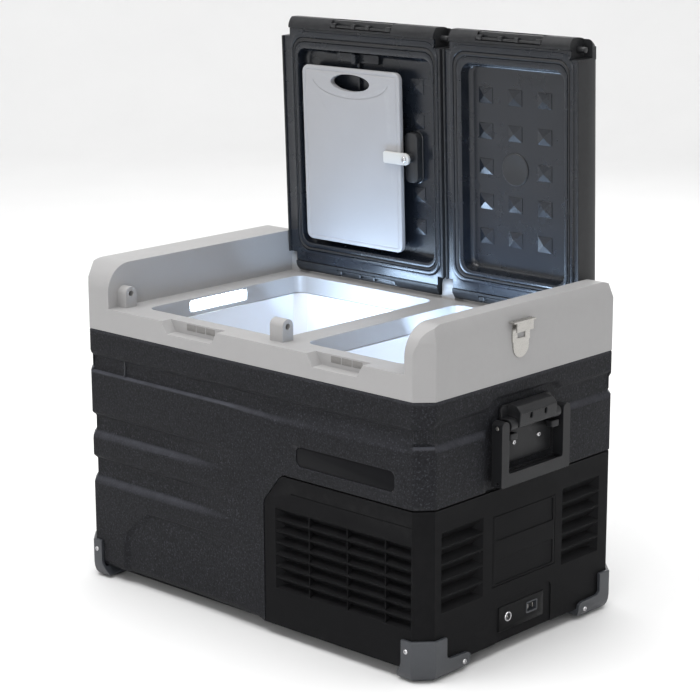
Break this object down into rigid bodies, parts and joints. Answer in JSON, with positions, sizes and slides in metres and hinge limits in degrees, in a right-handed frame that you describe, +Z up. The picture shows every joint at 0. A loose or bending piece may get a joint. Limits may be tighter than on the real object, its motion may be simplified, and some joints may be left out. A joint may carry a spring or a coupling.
{
  "type": "compressor cooler fridge",
  "caption": "Two-zone portable compressor cooler with two lift-up lids between raised end caps, side carry handles, vented machine cover and corner guards.",
  "frame": {"origin": "on the ground below the centre of the body", "axes": "+Z up, +X along the long side towards the machine end, -Y towards the front face with the badge"},
  "size_m": [0.694, 0.4192, 0.7907],
  "materials": {
    "shell_plastic": "coarse leather-like moulded grain",
    "frame_plastic": "satin, very fine grain",
    "cover_plastic": "semi-matt, fine grain",
    "guard_plastic": "satin",
    "lid_plastic": "satin",
    "lid_liner_plastic": "semi-gloss",
    "handle_plastic": "satin",
    "black_plastic": "satin",
    "white_liner": "smooth",
    "lamp_plastic": "lit diffuser",
    "board_plastic": "fine stipple",
    "clip_plastic": "smooth",
    "seal_rubber": "matt",
    "mount_rubber": "matt",
    "foam": "open foam skin",
    "bright_steel": "brushed",
    "screw_steel": "bright",
    "pin_plastic": "satin",
    "copper": "drawn tube",
    "fin_aluminium": "satin",
    "compressor_paint": "semi-gloss",
    "board_green": "solder mask",
    "display_glass": "polished window",
    "badge": "satin"
  },
  "bodies": {
    "cabinet": {"outer_shell": "shell_plastic", "top_frame": "frame_plastic", "machine_cover": "cover_plastic", "bottom_tray": "cover_plastic", "corner_protectors": "guard_plastic", "protector_screws": "screw_steel", "liner_large": "white_liner", "liner_small": "white_liner", "insulation": "foam", "evaporator_coils": "copper", "compressor": "compressor_paint", "compressor_mounts": "mount_rubber", "condenser": "fin_aluminium", "fan_shroud": "black_plastic", "control_board": "board_green", "refrigerant_pipes": "copper", "battery_bay": "black_plastic", "socket_plate": "black_plastic", "power_sockets": "black_plastic", "control_panel": "black_plastic", "display_window": "display_glass", "led_lamp": "lamp_plastic", "bottle_opener": "bright_steel", "badge_plate": "badge", "handle_brackets": "handle_plastic", "handle_pins": "bright_steel", "handle_screws": "screw_steel"},
    "lid_left": {"lid_left_shell": "lid_plastic", "lid_left_liner": "lid_liner_plastic", "lid_left_gasket": "seal_rubber", "lid_left_foam": "foam", "cutting_board": "board_plastic", "clip_screw": "screw_steel"},
    "lid_right": {"lid_right_shell": "lid_plastic", "lid_right_liner": "lid_liner_plastic", "lid_right_gasket": "seal_rubber", "lid_right_foam": "foam", "port_cover": "pin_plastic"},
    "board_clip": {"board_clip": "clip_plastic"},
    "fan": {"fan_rotor": "black_plastic"},
    "battery_door": {"battery_door": "cover_plastic"},
    "carry_handle_right": {"handle_right": "handle_plastic"},
    "carry_handle_left": {"handle_left": "handle_plastic"},
    "button_power": {"button_power": "guard_plastic"},
    "button_set": {"button_set": "guard_plastic"},
    "button_up": {"button_up": "guard_plastic"},
    "button_down": {"button_down": "guard_plastic"},
    "latch_left_front": {"latch_left_front": "pin_plastic"},
    "pin_left_front_a": {"pin_left_front_a": "pin_plastic"},
    "pin_left_front_b": {"pin_left_front_b": "pin_plastic"},
    "latch_left_rear": {"latch_left_rear": "pin_plastic"},
    "pin_left_rear_a": {"pin_left_rear_a": "pin_plastic"},
    "pin_left_rear_b": {"pin_left_rear_b": "pin_plastic"},
    "latch_right_front": {"latch_right_front": "pin_plastic"},
    "pin_right_front_a": {"pin_right_front_a": "pin_plastic"},
    "pin_right_front_b": {"pin_right_front_b": "pin_plastic"},
    "latch_right_rear": {"latch_right_rear": "pin_plastic"},
    "pin_right_rear_a": {"pin_right_rear_a": "pin_plastic"},
    "pin_right_rear_b": {"pin_right_rear_b": "pin_plastic"}
  },
  "joints": [
    {"name": "lid_left_hinge", "type": "hinge", "parent": "cabinet", "child": "lid_left", "pos_m": [0, 0.175, 0.424], "axis": [1, 0, 0], "range_deg": [0, 88]},
    {"name": "lid_right_hinge", "type": "hinge", "parent": "cabinet", "child": "lid_right", "pos_m": [0, 0.175, 0.424], "axis": [1, 0, 0], "range_deg": [0, 88]},
    {"name": "board_clip_swivel", "type": "hinge", "parent": "lid_left", "child": "board_clip", "pos_m": [-0.014, 0.1428, 0.60098], "axis": [0, 0.9994, 0.0349], "range_deg": [0, 90]},
    {"name": "latch_left_front_squeeze", "type": "slide", "parent": "lid_left", "child": "latch_left_front", "axis": [0, 0.9994, 0.0349], "range_m": [0, 0.006], "stiffness_N_per_m": 400},
    {"name": "pin_left_front_a_slide", "type": "slide", "parent": "lid_left", "child": "pin_left_front_a", "axis": [1, 0, 0], "range_m": [0, 0.014]},
    {"name": "pin_left_front_b_slide", "type": "slide", "parent": "lid_left", "child": "pin_left_front_b", "axis": [-1, 0, 0], "range_m": [0, 0.014]},
    {"name": "latch_left_rear_squeeze", "type": "slide", "parent": "lid_left", "child": "latch_left_rear", "axis": [0, 0.9994, 0.0349], "range_m": [0, 0.006], "stiffness_N_per_m": 400},
    {"name": "pin_left_rear_a_slide", "type": "slide", "parent": "lid_left", "child": "pin_left_rear_a", "axis": [1, 0, 0], "range_m": [0, 0.014]},
    {"name": "pin_left_rear_b_slide", "type": "slide", "parent": "lid_left", "child": "pin_left_rear_b", "axis": [-1, 0, 0], "range_m": [0, 0.014]},
    {"name": "latch_right_front_squeeze", "type": "slide", "parent": "lid_right", "child": "latch_right_front", "axis": [0, 0.9994, 0.0349], "range_m": [0, 0.006], "stiffness_N_per_m": 400},
    {"name": "pin_right_front_a_slide", "type": "slide", "parent": "lid_right", "child": "pin_right_front_a", "axis": [1, 0, 0], "range_m": [0, 0.014]},
    {"name": "pin_right_front_b_slide", "type": "slide", "parent": "lid_right", "child": "pin_right_front_b", "axis": [-1, 0, 0], "range_m": [0, 0.014]},
    {"name": "latch_right_rear_squeeze", "type": "slide", "parent": "lid_right", "child": "latch_right_rear", "axis": [0, 0.9994, 0.0349], "range_m": [0, 0.006], "stiffness_N_per_m": 400},
    {"name": "pin_right_rear_a_slide", "type": "slide", "parent": "lid_right", "child": "pin_right_rear_a", "axis": [1, 0, 0], "range_m": [0, 0.014]},
    {"name": "pin_right_rear_b_slide", "type": "slide", "parent": "lid_right", "child": "pin_right_rear_b", "axis": [-1, 0, 0], "range_m": [0, 0.014]},
    {"name": "fan_spin", "type": "hinge", "parent": "cabinet", "child": "fan", "pos_m": [0.205, -0.14, 0.118], "axis": [0, 1, 0], "continuous": true},
    {"name": "battery_door_hinge", "type": "hinge", "parent": "cabinet", "child": "battery_door", "pos_m": [0.3225, -0.0655, 0.145], "axis": [0, 0, -1], "range_deg": [0, 100]},
    {"name": "carry_handle_right_swing", "type": "hinge", "parent": "cabinet", "child": "carry_handle_right", "pos_m": [0.3355, -0.004, 0.316], "axis": [0, -1, 0], "range_deg": [0, 100]},
    {"name": "carry_handle_left_swing", "type": "hinge", "parent": "cabinet", "child": "carry_handle_left", "pos_m": [-0.3355, -0.004, 0.316], "axis": [0, 1, 0], "range_deg": [0, 100]},
    {"name": "button_power_press", "type": "slide", "parent": "cabinet", "child": "button_power", "axis": [0, -1, 0], "range_m": [0, 0.0015], "stiffness_N_per_m": 300},
    {"name": "button_set_press", "type": "slide", "parent": "cabinet", "child": "button_set", "axis": [0, -1, 0], "range_m": [0, 0.0015], "stiffness_N_per_m": 300},
    {"name": "button_up_press", "type": "slide", "parent": "cabinet", "child": "button_up", "axis": [0, -1, 0], "range_m": [0, 0.0015], "stiffness_N_per_m": 300},
    {"name": "button_down_press", "type": "slide", "parent": "cabinet", "child": "button_down", "axis": [0, -1, 0], "range_m": [0, 0.0015], "stiffness_N_per_m": 300}
  ],
  "couplings": [
    {"joint": "pin_left_front_a_slide", "follows": "latch_left_front_squeeze", "ratio": 2.333},
    {"joint": "pin_left_front_b_slide", "follows": "latch_left_front_squeeze", "ratio": 2.333},
    {"joint": "pin_left_rear_a_slide", "follows": "latch_left_rear_squeeze", "ratio": 2.333},
    {"joint": "pin_left_rear_b_slide", "follows": "latch_left_rear_squeeze", "ratio": 2.333},
    {"joint": "pin_right_front_a_slide", "follows": "latch_right_front_squeeze", "ratio": 2.333},
    {"joint": "pin_right_front_b_slide", "follows": "latch_right_front_squeeze", "ratio": 2.333},
    {"joint": "pin_right_rear_a_slide", "follows": "latch_right_rear_squeeze", "ratio": 2.333},
    {"joint": "pin_right_rear_b_slide", "follows": "latch_right_rear_squeeze", "ratio": 2.333}
  ]
}
